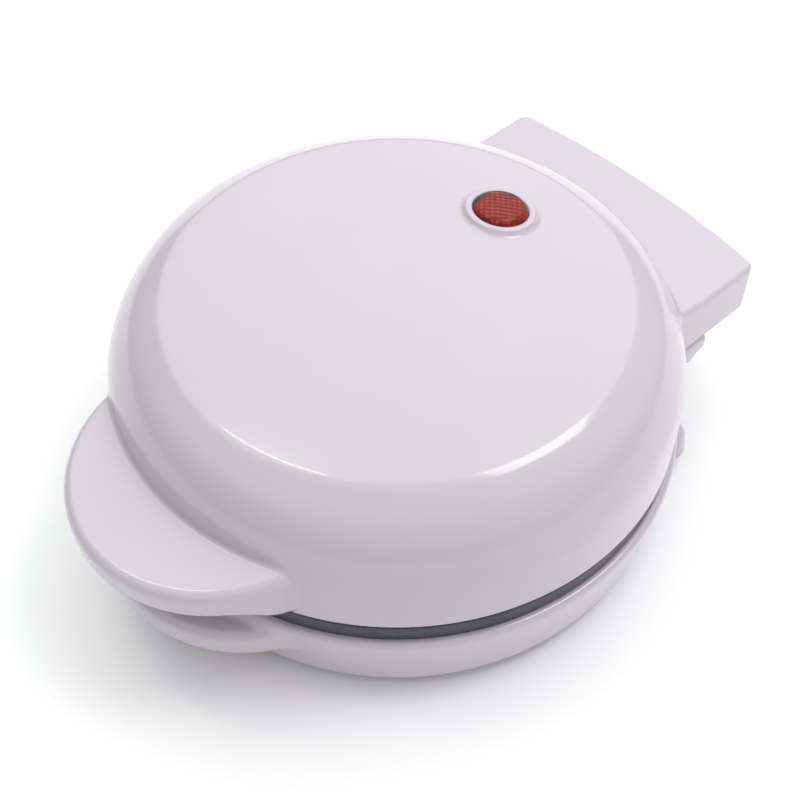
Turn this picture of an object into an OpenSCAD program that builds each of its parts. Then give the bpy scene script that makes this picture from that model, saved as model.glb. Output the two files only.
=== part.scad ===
// Mini waffle maker: a round hinged body, two non-stick grid plates, a crescent lift tab,
// a matching lip on the base, a hinge block behind and a signal lamp on the lid.
// Millimetres. +Z is up, the lift tab is at -Y, the hinge is at +Y.
// The origin is on the table, on the axis of the round body.

/* [Lid] */
// Outer radius of the lid at its rim
lid_r = 63.5; // [55:0.5:75]
// Height of the lid rim above the table
rim_z = 27; // [22:0.5:34]
// Height of the upright band above the rim
band_h = 10.5; // [6:0.5:16]
// Radius of the crease between the shoulder and the crowned top
crease_r = 49.7; // [40:0.1:56]
// Height of the crease above the rim
crease_h = 29.6; // [20:0.1:40]
// Height of the middle of the crown above the rim
crown_h = 35.7; // [24:0.1:46]
// Power that sets how flat the shoulder is
shoulder_power = 1.3; // [1:0.05:1.8]
// Wall of the moulded housings
wall = 2.4; // [1.6:0.1:3.5]

/* [Lift tab and lip] */
// Radius of the lift tab in plan
tab_r = 31.7; // [24:0.1:38]
// Distance from the body axis to the centre of the tab
tab_y = 49; // [40:0.5:58]
// Thickness of the lift tab
tab_h = 13; // [8:0.5:16]
// Rounding of the tab's edges
tab_round = 3; // [1:0.5:5]
// How much higher the underside of the tab is at its tip than at the lid
tab_lift = 5; // [0:0.5:6]
// Radius of the lip of the base in plan
lip_r = 31.8; // [24:0.1:38]
// Distance from the body axis to the centre of the lip
lip_y = 43.3; // [36:0.1:52]
// Height of the underside of the lip above the table
lip_z = 11; // [6:0.5:14]
// Thickness of the lip
lip_h = 8; // [5:0.5:11]

/* [Base] */
// Outer radius of the base at its top edge
base_r = 64.2; // [56:0.1:75]
// Outer radius of the base at its bottom edge
base_foot_r = 61.7; // [52:0.1:74]
// Height of the top edge of the base above the table
base_top = 21; // [16:0.5:26]
// Height of the rubber feet
foot_h = 3; // [1.5:0.5:6]
// Radius of each rubber foot
foot_r = 6; // [4:0.5:9]
// Distance of the feet from the body axis
foot_pos = 48; // [36:1:52]

/* [Plates] */
// Radius of the flange of the lower plate
flange_r = 62.6; // [54:0.1:70]
// Radius of the baking cavity
cavity_r = 51; // [42:0.5:54]
// Depth of the baking cavity in each plate
cavity_d = 9; // [6:0.5:12]
// Spacing of the studs
stud_pitch = 13; // [9:0.5:18]
// Side of each stud
stud_w = 7.4; // [4:0.2:10]
// Height of each stud
stud_h = 5.4; // [3:0.5:9]
// Thickness of the plates
plate_t = 3; // [2:0.5:5]
// Gap between the two closed plates
plate_gap = 0.3; // [0.2:0.05:1]

/* [Hinge] */
// Distance from the body axis to the hinge axis
hinge_y = 70; // [64:0.5:78]
// Height of the hinge axis above the lid rim
hinge_up = 2; // [0:0.5:6]
// Half-width of the hinge block on the lid
block_w = 37.3; // [28:0.1:44]
// Distance from the body axis to the back of the hinge block
block_back = 81.3; // [74:0.1:90]
// Height of the hinge block above the lid rim
block_h = 13; // [9:0.5:18]
// Radius of the hinge pins
pin_r = 2; // [1.5:0.1:3]
// Radial clearance of the pins in the base ears
pin_fit = 0.05; // [0.01:0.01:0.1]

/* [Lamp] */
// Distance from the body axis to the signal lamp
lamp_y = 30.3; // [20:0.1:40]
// Radius of the lamp lens
lens_r = 6.1; // [4:0.1:9]
// Outer radius of the ring around the lens
bezel_r = 9.35; // [7:0.05:13]

/* [Cord inlet] */
// Radius of the cord bore in the gland
cord_r = 3; // [2:0.1:4.5]
// Height of the cord bore above the table
cord_z = 10.5; // [8:0.5:12]

/* [Hidden] */
$fn = 96;
eps = 0.01;
crown_z = rim_z + crown_h;
crease_z = rim_z + crease_h;
band_z = rim_z + band_h;
hinge_z = rim_z + hinge_up;
low_top = rim_z - 1;
low_floor = low_top - cavity_d;
up_bot = low_top + plate_gap;
up_floor = up_bot + cavity_d;
plate_out_r = cavity_r + plate_t;
up_flange_r = lid_r - wall - 0.6;
up_flange_t = 3.7;
element_r = 3;
element_ring = 37;
cover_t = 2.2;
ear_x = 27;
ear_w = 6;
ear_boss_r = 5;
lug_x = 22;
lug_w = 4;
tab_bottom = rim_z + 0.5;
scoop_start = 54;
scoop_end = 69;
scoop_r = (pow(scoop_end - scoop_start, 2) + pow(tab_lift, 2)) / (4 * max(tab_lift, 0.1));
tab_screw_x = 15;
tab_screw_y = -69.5;
tab_screw_z = tab_bottom + tab_lift;
bow_r = (pow(block_w, 2) + 9) / 6;
block_corner = 2;
block_round = 2.4;
corner_x = block_w - block_corner;
corner_y = block_back - bow_r + sqrt(pow(bow_r - block_corner, 2) - pow(corner_x, 2));
cheek_x = 25;
cheek_w = 11.8;
lamp_z = crown_z - (crown_z - crease_z) * pow(lamp_y / crease_r, 2);
lamp_tilt = atan(2 * (crown_z - crease_z) * lamp_y / pow(crease_r, 2));
screw_ang = [25, 155, 205, 335];
low_screw_ang = [10, 130, 240];
up_boss_ang = [0, 145, 250];
heel_ang = [48, 132];
terminal_ang = [114, 66];

lilac = [0.86, 0.82, 0.87];
dark = [0.2, 0.21, 0.24];
steel = [0.72, 0.72, 0.74];
alu = [0.8, 0.81, 0.83];
black_rubber = [0.09, 0.09, 0.1];
red = [0.6, 0.08, 0.06];

// ---- shared shapes ----

// Half section of the lid, moved inwards by d
module lid_section(d, low) {
    r = lid_r - d;
    rc = crease_r - 0.9 * d;
    zc = crease_z - d;
    zt = crown_z - d;
    polygon(concat([[0, low], [r, low]],
        [for (i = [0:8]) let (t = i * 90 / 8)
            [rc + (r - rc) * pow(cos(t), shoulder_power),
             band_z + (zc - band_z) * pow(sin(t), shoulder_power)]],
        [for (i = [1:5]) let (k = 1 - i / 5) [rc * k, zt - (zt - zc) * k * k]]));
}

module lid_solid(d = 0, low = rim_z) {
    rotate_extrude() lid_section(d, low);
}

// Flat disc with rounded edges, used for the lift tab and the lip
module rounded_disc(r, h, e) {
    rotate_extrude() {
        square([r - e, h]);
        translate([0, e]) square([r, h - 2 * e]);
        translate([r - e, e]) circle(e, $fn = 48);
        translate([r - e, h - e]) circle(e, $fn = 48);
    }
}

module at_polar(ang, r, z = 0) {
    rotate([0, 0, ang]) translate([r, 0, z]) children();
}

// Side profile in Y and Z, given a width in X
module side_plate(x0, w) {
    translate([x0, 0, 0]) rotate([90, 0, 90]) linear_extrude(w) children();
}

// Rod along X
module rod_x(r, x0, x1) {
    translate([x0, hinge_y, hinge_z]) rotate([0, 90, 0]) cylinder(r = r, h = x1 - x0);
}

// Stud positions that lie wholly inside the baking cavity
function stud_spots() = [for (i = [-4:4], j = [-4:4])
    if (norm([abs(i), abs(j)]) * stud_pitch + stud_w * 0.72 < cavity_r - 1)
        [i * stud_pitch, j * stud_pitch]];

module studs(z, h) {
    for (p = stud_spots())
        translate([p[0] - stud_w / 2, p[1] - stud_w / 2, z]) cube([stud_w, stud_w, h]);
}

// Pan-head screw, head down, shank up from z = 0
module screw(len, head_r, head_h, shank_r) {
    translate([0, 0, -head_h]) difference() {
        cylinder(r = head_r, h = head_h);
        translate([-head_r * 0.6, -0.35, -eps]) cube([head_r * 1.2, 0.7, 0.8]);
        translate([-0.35, -head_r * 0.6, -eps]) cube([0.7, head_r * 1.2, 0.8]);
    }
    translate([0, 0, -eps]) cylinder(r = shank_r, h = len + eps);
}

// Frame of the signal lamp: origin on the crown, z along its normal
module lamp_frame() {
    translate([0, lamp_y, lamp_z]) rotate([-lamp_tilt, 0, 0]) children();
}

// ---- base ----

module base_section() {
    polygon([[base_foot_r - 2.6, foot_h], [base_foot_r - 1, foot_h], [base_foot_r, foot_h + 1.2],
        [base_r, base_top - 1.8], [base_r - 0.35, base_top - 0.6], [base_r - 1.3, base_top],
        [plate_out_r + 0.6, base_top], [plate_out_r + 0.6, base_top - 2.5],
        [base_r - 3, base_top - 2.5],
        [base_foot_r - 2.6, foot_h + cover_t]]);
}

module ear_profile() {
    difference() {
        union() {
            polygon([[51, 14], [58.4, 14], [60.3, 17.4], [62.4, 21.3], [65.3, 24.4], [69, 25],
                [70, 29], [67, 32.6], [60.4, 28.6], [58.2, 26], [57.3, 23], [57.2, 20.9], [51, 20.9]]);
            translate([hinge_y, hinge_z]) circle(ear_boss_r);
        }
        translate([hinge_y, hinge_z]) circle(pin_r + pin_fit);
    }
}

// Cheek under each ear, flared towards the hinge block
module cheek() difference() {
    side_plate(cheek_x, cheek_w) difference() {
        translate([50, 4.5]) square([15.5, 21.2]);
        translate([65.5, 15.4]) circle(5.5, $fn = 96);
        translate([60, 0]) square([10, 15.4]);
    }
    cylinder(r = base_r - 2.6, h = base_top - 0.1);
    translate([0, 0, base_top - 0.2]) cylinder(r = base_r - 1.1, h = 10);
}

module base_housing() color(lilac) difference() {
    union() {
        rotate_extrude() base_section();
        // front lip, hollow from below
        difference() {
            translate([0, -lip_y, lip_z]) rounded_disc(lip_r, lip_h, 2.5);
            translate([0, -lip_y, lip_z - 1]) cylinder(r = lip_r - wall, h = lip_h + 1 - wall);
            translate([0, 0, lip_z - 1]) cylinder(r = base_r - 2.4, h = lip_h + 2);
        }
        // ears of the hinge
        for (s = [-1, 1]) side_plate(s > 0 ? ear_x : -ear_x - ear_w, ear_w) ear_profile();
        cheek();
        mirror([1, 0, 0]) cheek();
        // rear heels that steady the open lid
        for (a = heel_ang) intersection() {
            at_polar(a, base_r - 0.4, foot_h) cylinder(r1 = 5.4, r2 = 3.8, h = 9);
            difference() {
                cylinder(r = 80, h = 40);
                cylinder(r = base_foot_r - 0.8, h = 40);
            }
        }
        // bosses for the bottom cover
        for (a = screw_ang) difference() {
            union() {
                at_polar(a, 53.5, foot_h + cover_t) cylinder(r = 3.5, h = 8.5, $fn = 48);
                at_polar(a, 53.5, foot_h + cover_t) translate([0, -1, 0]) cube([6.6, 2, 8.5]);
            }
            at_polar(a, 53.5, foot_h) cylinder(r = 1.3, h = 9, $fn = 32);
        }
    }
    // cord exit
    translate([0, 50, cord_z]) rotate([-90, 0, 0]) cylinder(r = 4.2, h = 20);
    // screw holes of the lower plate
    for (a = low_screw_ang) at_polar(a, 56.8, base_top - 4) cylinder(r = 1.7, h = 6, $fn = 32);
}

module base_bottom_cover() color(dark) difference() {
    union() {
        translate([0, 0, foot_h]) cylinder(r = base_foot_r - 2.8, h = cover_t);
        translate([0, 0, foot_h + cover_t]) rotate_extrude() translate([30, 0]) square([1.2, 1]);
    }
    for (a = screw_ang) {
        at_polar(a, 53.5, foot_h - 1) cylinder(r = 1.7, h = 5, $fn = 32);
        at_polar(a, 53.5, foot_h - 1) cylinder(r = 3.2, h = 2.1, $fn = 32);
    }
    for (a = [45:90:315]) at_polar(a, foot_pos, foot_h - 1) cylinder(r = 2.6, h = 5, $fn = 32);
    for (i = [-2:2]) translate([i * 8 - 1.2, -13, foot_h - 1]) cube([2.4, 26, 5]);
}

module rubber_feet() color(black_rubber) for (a = [45:90:315]) at_polar(a, foot_pos) {
    rotate_extrude($fn = 48) polygon([[0, 0], [foot_r - 0.7, 0], [foot_r, 0.7], [foot_r, foot_h],
        [2.55, foot_h], [2.55, foot_h + cover_t], [0, foot_h + cover_t]]);
}

module bottom_cover_screws() color(steel) for (a = screw_ang)
    at_polar(a, 53.5, foot_h + 1.1) screw(7.5, 3, 1, 1.25, $fn = 32);

module lower_plate() color(dark) {
    difference() {
        union() {
            rotate_extrude() polygon([[0, low_floor - plate_t], [plate_out_r - 1, low_floor - plate_t],
                [plate_out_r, low_floor - plate_t + 1], [plate_out_r, base_top], [flange_r, base_top],
                [flange_r, low_top - 0.8], [flange_r - 0.8, low_top], [0, low_top]]);
            // seat for the element
            rotate_extrude() translate([element_ring - 4.5, low_floor - plate_t - 1.6])
                square([9, 1.7]);
        }
        translate([0, 0, low_floor]) cylinder(r1 = cavity_r - 1, r2 = cavity_r, h = cavity_d + 1);
        for (a = low_screw_ang) at_polar(a, 56.8, base_top - 1) cylinder(r = 1.5, h = 5, $fn = 32);
    }
    studs(low_floor - eps, stud_h + eps);
}

module element(z) {
    rotate([0, 0, 110]) rotate_extrude(angle = 320) translate([element_ring, z])
        circle(element_r, $fn = 32);
}

module lower_heating_element() color(steel) {
    z = low_floor - plate_t - 1.6 - 1.2;
    element(z);
    for (a = terminal_ang) at_polar(a, element_ring, 6.2) cylinder(r = 1.2, h = z - 6.2, $fn = 24);
}

module lower_reflector() color(alu) difference() {
    z = low_floor - plate_t;
    rotate_extrude() polygon([[0, 7.4], [48, 7.4], [49.6, 9], [49.6, z], [49, z], [49, 9.2],
        [47.8, 8], [0, 8]]);
    for (a = terminal_ang) at_polar(a, element_ring, 5) cylinder(r = 3.4, h = 5, $fn = 32);
    at_polar(180, 20, 5) cylinder(r = 6.5, h = 5, $fn = 48);
}

module lower_plate_screws() color(steel) for (a = low_screw_ang)
    at_polar(a, 56.8, base_top - 2.5) screw(6, 2.6, 1.6, 1.45, $fn = 32);

module cord_gland() color(black_rubber) translate([0, 0, cord_z]) rotate([-90, 0, 0]) difference() {
    union() {
        translate([0, 0, 55]) cylinder(r = 4.9, h = 3.8);
        translate([0, 0, 57]) cylinder(r = 4.1, h = 8);
        translate([0, 0, 63.8]) cylinder(r1 = 4.9, r2 = 4.3, h = 3.2);
    }
    translate([0, 0, 50]) cylinder(r = cord_r, h = 20);
}

module cord_clamp() color(dark) difference() {
    translate([-9, 50.8, foot_h + cover_t]) cube([18, 3.6, 8.6]);
    translate([0, 50, cord_z]) rotate([-90, 0, 0]) cylinder(r = cord_r + 0.2, h = 6, $fn = 48);
}

module terminal_block() color([0.85, 0.84, 0.78]) for (a = terminal_ang)
    at_polar(a, 50.6, foot_h + cover_t) difference() {
        translate([0, -5, 0]) cube([5, 10, 5.4]);
        for (y = [-2.5, 2.5]) translate([2.5, y, 3]) cylinder(r = 1.3, h = 5, $fn = 24);
    }

module thermal_fuse() color(steel) {
    at_polar(180, 20, low_floor - plate_t - 3.2) rotate([90, 0, 0])
        translate([0, 0, -5.5]) cylinder(r = 2, h = 11, $fn = 32);
    at_polar(180, 20, low_floor - plate_t - 3.2) translate([-3, -3, 1.2]) cube([6, 6, 2]);
}

module base_wires() color([0.75, 0.7, 0.6]) for (s = [-1, 1]) {
    a = s > 0 ? terminal_ang[1] : terminal_ang[0];
    at_polar(a, element_ring + 1.25, 6.4) rotate([0, 90, 0]) cylinder(r = 0.9, h = 12.3, $fn = 16);
}

// ---- lid ----

module block_plan() {
    intersection() {
        union() {
            translate([-block_w, 40]) square([2 * block_w, corner_y - 40]);
            translate([-corner_x, 40]) square([2 * corner_x, 50]);
            for (s = [-1, 1]) translate([s * corner_x, corner_y]) circle(block_corner, $fn = 64);
        }
        translate([0, block_back - bow_r]) circle(bow_r, $fn = 360);
    }
}

module block_solid() {
    top = rim_z + block_h;
    intersection() {
        translate([0, 0, rim_z - 0.5]) linear_extrude(block_h + 0.5) block_plan();
        // rounded top edges at the sides
        translate([0, 100, 0]) rotate([90, 0, 0]) linear_extrude(80) {
            translate([-block_w, 0]) square([2 * block_w, top - block_round]);
            translate([block_round - block_w, 0]) square([2 * (block_w - block_round), top]);
            for (s = [-1, 1]) translate([s * (block_w - block_round), top - block_round])
                circle(block_round, $fn = 48);
        }
        // rounded top edge at the back
        translate([0, block_back - bow_r, 0]) rotate_extrude($fn = 360) {
            square([bow_r, top - block_round]);
            square([bow_r - block_round, top]);
            translate([bow_r - block_round, top - block_round]) circle(block_round, $fn = 48);
        }
    }
}

module block_hollow() {
    translate([0, 0, rim_z - 2]) linear_extrude(block_h - 0.5) difference() {
        intersection() {
            translate([0.1 - block_w + wall, 48]) square([2 * (block_w - wall) - 0.2, block_back - 52.6]);
            translate([0, block_back - bow_r]) circle(bow_r - wall, $fn = 360);
        }
        circle(lid_r);
    }
}

module lug_profile() {
    translate([hinge_y, hinge_z]) circle(ear_boss_r);
    translate([hinge_y - 5, hinge_z]) square([10, block_h - 3.5]);
}

// Space under the tab, seen from the side: its top edge rises in an S towards the tip
module scoop_profile(flat = 0) {
    mid_y = -(scoop_start + scoop_end) / 2;
    run = (scoop_end - scoop_start) / 2;
    translate([-95, 0]) square([95 - scoop_end, tab_bottom + tab_lift]);
    intersection() {
        translate([-scoop_end, 0]) square([run, 60]);
        union() {
            translate([-scoop_end, tab_bottom + tab_lift - scoop_r]) circle(scoop_r, $fn = 128);
            translate([-scoop_end, 0]) square([run, tab_bottom + tab_lift - scoop_r]);
        }
    }
    difference() {
        translate([mid_y, 0]) square([run, tab_bottom + tab_lift / 2]);
        translate([-scoop_start, tab_bottom + scoop_r]) circle(scoop_r, $fn = 128);
    }
    if (flat > 0) translate([-scoop_start, 0]) square([flat, tab_bottom]);
}

module lid_housing() color(lilac) difference() {
    union() {
        difference() {
            union() {
                lid_solid();
                block_solid();
                difference() {
                    translate([0, -tab_y, tab_bottom]) rounded_disc(tab_r, tab_h, tab_round);
                    side_plate(-40, 80) scoop_profile();
                }
            }
            lid_solid(wall, rim_z - 3);
            block_hollow();
            // hollow of the lift tab, closed by its own cover
            difference() {
                translate([0, -tab_y, tab_bottom - 1]) cylinder(r = tab_r - wall, h = tab_h + 1 - wall);
                cylinder(r = lid_r, h = 80);
            }
            // way for the lid wiring, from the lid into the hinge block
            translate([-6, 55, rim_z + 4]) cube([12, 12, 5]);
        }
        // inner lugs and blind bosses that hold the hinge pins
        intersection() {
            for (s = [-1, 1]) {
                side_plate(s > 0 ? lug_x : -lug_x - lug_w, lug_w) lug_profile();
                side_plate(s > 0 ? block_w - 3.5 : 1 - block_w, 2.5) lug_profile();
            }
            block_solid();
        }
        // screw bosses for the upper plate
        intersection() {
            lid_solid(1);
            for (a = up_boss_ang) at_polar(a, 57.2, up_bot + up_flange_t)
                cylinder(r = 3.1, h = 30, $fn = 48);
        }
        // screw bosses inside the lift tab
        for (s = [-1, 1]) translate([s * tab_screw_x, tab_screw_y, tab_screw_z + 2.2])
            cylinder(r = 3, h = tab_h - tab_lift - 2.2 - wall + 0.5, $fn = 48);
    }
    for (a = up_boss_ang) at_polar(a, 57.2, rim_z) cylinder(r = 1.5, h = 12, $fn = 32);
    for (s = [-1, 1]) translate([s * tab_screw_x, tab_screw_y, tab_screw_z])
        cylinder(r = 1.3, h = 5.6, $fn = 32);
    // pin bores
    rod_x(pin_r, lug_x - 1, block_w - 1.3);
    rod_x(pin_r, 1.3 - block_w, 1 - lug_x);
    // seat and hole of the signal lamp
    lamp_frame() {
        translate([0, 0, -1.4]) cylinder(r = bezel_r + 0.05, h = 5);
        translate([0, 0, -8]) cylinder(r = 7.4, h = 10);
    }
}

module tab_cover() color(lilac) difference() {
    intersection() {
        translate([0, -tab_y, tab_bottom]) cylinder(r = tab_r - wall - 0.1, h = tab_h);
        translate([0, 0, 2.2]) side_plate(-40, 80) scoop_profile(40);
    }
    translate([0, 0, 0.2]) side_plate(-41, 82) scoop_profile(41);
    cylinder(r = lid_r + 0.1, h = 80);
    for (s = [-1, 1]) translate([s * tab_screw_x, tab_screw_y, tab_screw_z - 1]) {
        cylinder(r = 1.6, h = 5, $fn = 32);
        cylinder(r = 2.8, h = 2.1, $fn = 32);
    }
}

module tab_cover_screws() color(steel) for (s = [-1, 1])
    translate([s * tab_screw_x, tab_screw_y, tab_screw_z + 1.1]) screw(4, 2.6, 0.9, 1.25, $fn = 32);

module upper_plate() color(dark) {
    difference() {
        union() {
            rotate_extrude() polygon([[0, up_bot], [up_flange_r - 0.6, up_bot], [up_flange_r, up_bot + 0.6],
                [up_flange_r, up_bot + up_flange_t], [plate_out_r, up_bot + up_flange_t],
                [plate_out_r, up_floor + plate_t - 1], [plate_out_r - 1, up_floor + plate_t],
                [0, up_floor + plate_t]]);
            rotate_extrude() translate([element_ring - 4.5, up_floor + plate_t - 0.1]) square([9, 1.7]);
        }
        translate([0, 0, up_bot - 1]) cylinder(r1 = cavity_r, r2 = cavity_r - 1, h = cavity_d + 1);
        for (a = up_boss_ang) {
            at_polar(a, 57.2, up_bot - 1) cylinder(r = 1.6, h = 6, $fn = 32);
            at_polar(a, 57.2, up_bot - eps) cylinder(r1 = 2.9, r2 = 1.5, h = 1.5, $fn = 32);
        }
    }
    studs(up_floor - stud_h, stud_h + eps);
}

module upper_heating_element() color(steel) {
    z = up_floor + plate_t + 1.6 + 1.2;
    element(z);
    for (a = terminal_ang) at_polar(a, element_ring, z) cylinder(r = 1.2, h = 7, $fn = 24);
}

module upper_reflector() color(alu) difference() {
    z = up_floor + plate_t;
    rotate_extrude() polygon([[0, z + 6.6], [45, z + 6.6], [47, z + 5], [47, z], [47.6, z],
        [47.6, z + 5.3], [45.3, z + 7.2], [0, z + 7.2]]);
    for (a = terminal_ang) at_polar(a, element_ring, z) cylinder(r = 3.4, h = 12, $fn = 32);
    translate([0, 0, z]) cylinder(r = 9.4, h = 12);
}

module upper_plate_screws() color(steel) for (a = up_boss_ang) at_polar(a, 57.2, up_bot + 0.15) {
    difference() {
        cylinder(r1 = 2.65, r2 = 1.45, h = 1.3, $fn = 32);
        translate([-1.6, -0.3, -eps]) cube([3.2, 0.6, 0.5]);
        translate([-0.3, -1.6, -eps]) cube([0.6, 3.2, 0.5]);
    }
    translate([0, 0, 1.2]) cylinder(r = 1.45, h = 9, $fn = 32);
}

module thermostat() color(steel) {
    z = up_floor + plate_t;
    translate([0, 0, z]) cylinder(r = 8.5, h = 3);
    translate([0, 0, z + 3 - eps]) cylinder(r = 7.2, h = 7);
    for (s = [-1, 1]) translate([s * 5 - 1.6, -0.4, z + 10 - eps]) cube([3.2, 0.8, 5]);
}

module lamp_bezel() color(lilac) lamp_frame() rotate_extrude() polygon([
    [lens_r + 0.1, -1.4], [bezel_r, -1.4], [bezel_r, 0], [bezel_r - 0.7, 0.2], [bezel_r - 1.1, 1],
    [bezel_r - 1.6, 1.25], [lens_r + 0.5, 1.25], [lens_r + 0.1, 0.9]]);

module lamp_lens() color(red) lamp_frame() rotate_extrude() polygon(concat(
    [[0, -4.5], [5.2, -4.5], [5.2, -1.6], [lens_r, -1.6]],
    [for (i = [0:6]) let (t = i * 15) [lens_r * cos(t), 0.9 + 1.9 * sin(t)]]));

module lamp_holder() color([0.93, 0.92, 0.88]) lamp_frame() difference() {
    union() {
        translate([0, 0, -14]) cylinder(r = 7, h = 12.4);
        translate([0, 0, -4.6]) cylinder(r = 8.6, h = 1.3);
    }
    translate([0, 0, -12.5]) cylinder(r = 5.3, h = 20);
    for (s = [-1, 1]) translate([s * 2, 0, -16]) cylinder(r = 0.6, h = 5, $fn = 16);
}

module neon_lamp() color([0.95, 0.6, 0.4, 0.7]) lamp_frame() {
    translate([0, 0, -12.5]) cylinder(r = 2.9, h = 4.8, $fn = 48);
    translate([0, 0, -7.7]) sphere(2.9, $fn = 48);
    for (s = [-1, 1]) translate([s * 2, 0, -14.6]) cylinder(r = 0.4, h = 2.2, $fn = 16);
}

module lamp_resistor() color([0.8, 0.7, 0.5]) lamp_frame()
    translate([8.35, 0, -13]) cylinder(r = 1.3, h = 7, $fn = 32);

module lid_wires() color([0.75, 0.7, 0.6]) {
    z = up_floor + plate_t + 2.8 + 7;
    for (s = [-1, 1]) translate([s * element_ring * cos(terminal_ang[1]), 35, z]) rotate([-90, 0, 0])
        cylinder(r = 0.9, h = 10, $fn = 16);
    for (s = [-1, 1]) translate([s * 5, 0.4, up_floor + plate_t + 13.5]) rotate([-90, 0, 0])
        cylinder(r = 0.9, h = 20, $fn = 16);
}

module hinge_pins() color(steel) {
    rod_x(pin_r, lug_x, block_w - 1.3);
    rod_x(pin_r, 1.3 - block_w, -lug_x);
}

base_housing();
base_bottom_cover();
rubber_feet();
bottom_cover_screws();
lower_plate();
lower_heating_element();
lower_reflector();
lower_plate_screws();
cord_gland();
cord_clamp();
terminal_block();
thermal_fuse();
base_wires();
lid_housing();
tab_cover();
tab_cover_screws();
upper_plate();
upper_heating_element();
upper_reflector();
upper_plate_screws();
thermostat();
lamp_bezel();
lamp_lens();
lamp_holder();
neon_lamp();
lamp_resistor();
lid_wires();
hinge_pins();
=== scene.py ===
import math
from functools import reduce

import bmesh
import bpy
import numpy as np
from mathutils import Matrix, Vector


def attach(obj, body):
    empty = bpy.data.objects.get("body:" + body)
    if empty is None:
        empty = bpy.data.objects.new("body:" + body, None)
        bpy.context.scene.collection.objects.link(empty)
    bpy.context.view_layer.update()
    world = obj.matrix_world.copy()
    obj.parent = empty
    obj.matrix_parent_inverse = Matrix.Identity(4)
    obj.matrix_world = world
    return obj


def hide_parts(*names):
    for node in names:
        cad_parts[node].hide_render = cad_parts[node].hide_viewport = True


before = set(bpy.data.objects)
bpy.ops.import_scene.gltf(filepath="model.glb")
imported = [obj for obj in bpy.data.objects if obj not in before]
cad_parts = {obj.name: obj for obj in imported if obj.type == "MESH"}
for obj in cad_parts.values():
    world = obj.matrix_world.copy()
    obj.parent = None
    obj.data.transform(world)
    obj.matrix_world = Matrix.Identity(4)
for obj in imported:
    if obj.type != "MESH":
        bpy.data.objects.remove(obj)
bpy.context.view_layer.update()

MM = 0.001

# ---- driving sizes, in millimetres: the frame's own, or a hair inside them ----

# The lid: an upright band, a bulged shoulder, a short ramp and a crowned top
LID_R = 63.5
RIM_Z = 26.8
CROWN_Z = 62.7
CREASE_R = 49.7
CREASE_Z = 56.6
WALL = 2.4
SHOULDER_POINTS = ((62.95, 40.8), (61.35, 45.6), (57.0, 52.0))
RAMP_R, RAMP_Z, RAMP_TILT = 49.85, 56.62, 28.0
CONE_START = 2.0
BAND_BLEND, RAMP_BLEND, CROWN_BLEND = 1.4, 0.9, 0.3
RIM_EDGE = 0.4

# The lift tab, whose top falls a little towards its tip, and the scoop under it
TAB_R, TAB_Y, TAB_LOW, TAB_HIGH, TAB_EDGE = 31.7, 49.0, 27.5, 40.5, 2.2
TAB_FALL, FALL_Y, FALL_RUN = 0.6, 68.0, 12.0
TAB_FILLET, TAB_FLOOR = 0.9, 2.2
SCOOP_START, SCOOP_END, SCOOP_LIFT = 54.0, 69.0, 5.0

# The hinge block, whose top rises a little where it meets the lid
BLOCK_W, BLOCK_BACK, BLOCK_HIGH, BLOCK_BOW = 37.3, 81.3, 40.0, 233.4
BLOCK_LOW, BLOCK_FRONT, BAY_FRONT = 26.5, 40.0, 48.0
BLOCK_CORNER, BLOCK_TOP_EDGE, BLOCK_LOW_EDGE, BLOCK_FILLET = 2.0, 1.3, 0.7, 1.6
BLOCK_RISE, RISE_Y, RISE_RUN = 1.2, 66.0, 14.0
HINGE_Y, HINGE_Z = 70.0, 29.0
LUG_R, LUG_ROOF, LUG_EDGE = 5.0, 1.0, 0.4
LUG_X, LUG_HALF, BOSS_X, BOSS_HALF = 24.0, 2.0, 35.05, 1.25

# The base body with its front lip
BASE_TOP, BASE_LOW = 21.0, 3.0
BASE_R_TOP, BASE_R_LOW = 64.1, 61.7
LEAN_TOP, LEAN_RUN = 19.2, 16.0
BASE_TOP_EDGE, BASE_LOW_EDGE = 1.5, 1.2
BASE_THICK, LIP_HOLLOW_GAP = 2.6, 1.2
LIP_R, LIP_Y, LIP_LOW, LIP_HIGH, LIP_EDGE, LIP_FILLET = 31.8, 43.3, 11.0, 19.0, 2.6, 2.2

# The base's hinge ears, the cheeks below them and the two rear heels
EAR_X, EAR_W, EAR_EDGE, EAR_FILLET, BORE_R = 27.0, 6.0, 0.7, 0.8, 2.05
EAR_PATH = (((HINGE_Y, HINGE_Z), 5.0), ((63.2, 26.7), 3.0), ((60.3, 23.2), 2.7),
            ((58.2, 17.0), 2.4))
CHEEK_X, CHEEK_HALF, CHEEK_LOW, CHEEK_HIGH, CHEEK_FRONT = 30.9, 5.9, 4.5, 25.1, 50.0
FLARE_R, FLARE_Y, FLARE_Z, FLARE_EDGE = 5.5, 65.5, 15.4, 0.3
CHEEK_EDGE, CHEEK_TOP_EDGE, CHEEK_FILLET = 0.5, 1.2, 1.2
CHEEK_START, BEVEL_Z, BEVEL_SLOPE = 63.1, 20.9, 4
HEEL_ANGLES = (48, 132)
HEEL_REACH, HEEL_R, HEEL_TAPER, HEEL_RUN, HEEL_HIGH = 63.8, 5.4, 1.2, 8, 10.8
HEEL_TOP_EDGE, HEEL_LOW_EDGE, HEEL_FILLET = 2.4, 1.6, 1.5
CORD_Z, CORD_BORE_R = 10.5, 4.15

# The grid plates: a round cavity with square studs
CAVITY_R, CAVITY_D, PLATE_T = 51.0, 9.0, 3.0
STUD_PITCH, STUD_W, STUD_H = 13.0, 7.4, 5.4
LOW_TOP = 26.0
UP_BOT = 26.5

# The signal lamp: lens, ring and the prism pattern in the lens
LAMP_Y = 30.3
LENS_R, BEZEL_R = 6.1, 9.35
RIB_PITCH = 1.19
SEAT_LAP, SEAT_LOW = 0.6, -3.0

# How far out the four feet stand
FEET_REACH = 48


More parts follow.
